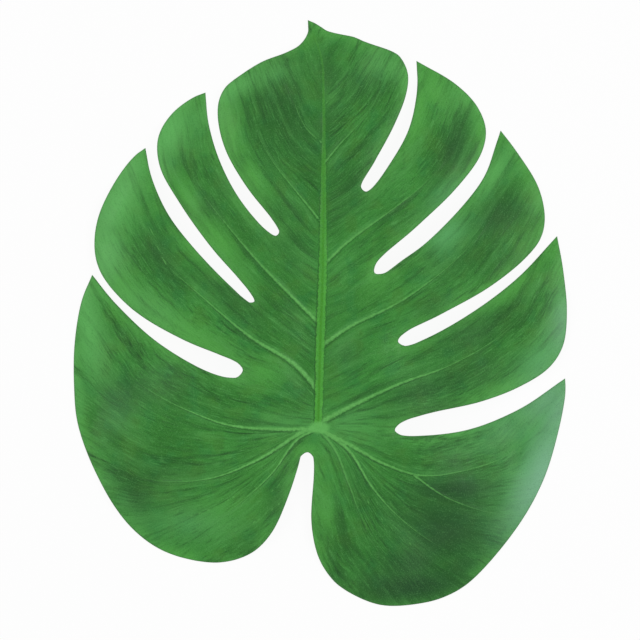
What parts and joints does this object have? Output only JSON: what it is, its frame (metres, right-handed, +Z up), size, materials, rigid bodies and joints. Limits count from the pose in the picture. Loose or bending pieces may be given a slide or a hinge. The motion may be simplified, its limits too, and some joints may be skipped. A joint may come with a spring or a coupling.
{
  "type": "monstera leaf",
  "caption": "Heart-shaped split monstera leaf with finger-like lobes, a pale midrib and curved side veins, picked and laid flat, for plant displays and set dressing.",
  "frame": {"origin": "on the plane that the leaf lies on, under the middle of its bounding box", "axes": "+Z up, out of the upper side; +Y from the stalk's cut towards the tip; +X to the right, seen from above with the tip away"},
  "size_m": [0.2962, 0.3518, 0.0178],
  "materials": {
    "leaf_green": "satin"
  },
  "bodies": {
    "root": {"leaf": "leaf_green"}
  },
  "joints": []
}
